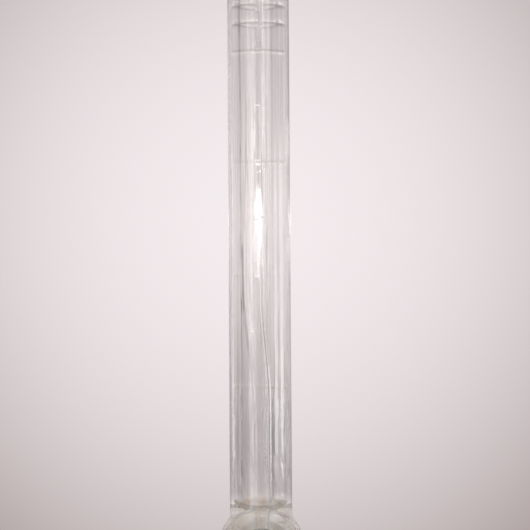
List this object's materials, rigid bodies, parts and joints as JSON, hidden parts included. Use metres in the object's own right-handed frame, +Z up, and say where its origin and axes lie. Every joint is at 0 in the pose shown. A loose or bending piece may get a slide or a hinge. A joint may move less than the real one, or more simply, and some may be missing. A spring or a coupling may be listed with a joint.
{
  "type": "dropping funnel",
  "caption": "Upright heavy-walled graduated glass tube with a ground socket and stopper on top, and a ground-glass stopcock over a plain stem, for adding a liquid drop by drop.",
  "frame": {"origin": "on the tube's axis at the foot of the stem, where its full round wall begins above the oblique tip", "axes": "+Z up along the tube, -Y to the front, where the key's handle and the graduations are"},
  "size_m": [0.042, 0.066, 0.2913],
  "materials": {
    "clear_glass": "clear, fire-polished",
    "ground_glass": "clear with fine-ground tapers",
    "white_fluoropolymer": "waxy, slightly translucent",
    "black_rubber": "matt",
    "ivory_nylon": "satin, moulded"
  },
  "bodies": {
    "glass": {"measuring_tube": "clear_glass", "socket_neck": "clear_glass", "stopcock_barrel": "clear_glass", "outlet_stem": "clear_glass"},
    "key": {"stopcock_key": "ground_glass", "slip_washer": "white_fluoropolymer", "tension_ring": "black_rubber"},
    "pressure_ring": {"pressure_ring": "ivory_nylon"},
    "nut": {"retaining_nut": "ivory_nylon"},
    "sleeve": {"stopper_sleeve": "white_fluoropolymer"},
    "stopper": {"stopper": "ground_glass"}
  },
  "joints": [
    {"name": "key_turn", "type": "hinge", "parent": "glass", "child": "key", "pos_m": [0, 0, 0.09525], "axis": [0, 1, 0], "continuous": true},
    {"name": "nut_travel", "type": "slide", "parent": "key", "child": "pressure_ring", "axis": [0, 1, 0], "range_m": [0, 0.003]},
    {"name": "nut_turn", "type": "hinge", "parent": "pressure_ring", "child": "nut", "pos_m": [0, 0.03, 0.09525], "axis": [0, 1, 0], "range_deg": [0, 720]},
    {"name": "stopper_lift", "type": "slide", "parent": "glass", "child": "sleeve", "axis": [0, 0, 1], "range_m": [0, 0.04]},
    {"name": "stopper_twist", "type": "hinge", "parent": "sleeve", "child": "stopper", "pos_m": [0, 0, 0.263], "axis": [0, 0, 1], "continuous": true}
  ],
  "couplings": [
    {"joint": "nut_turn", "follows": "nut_travel", "rad_per_m": 4188.8}
  ]
}
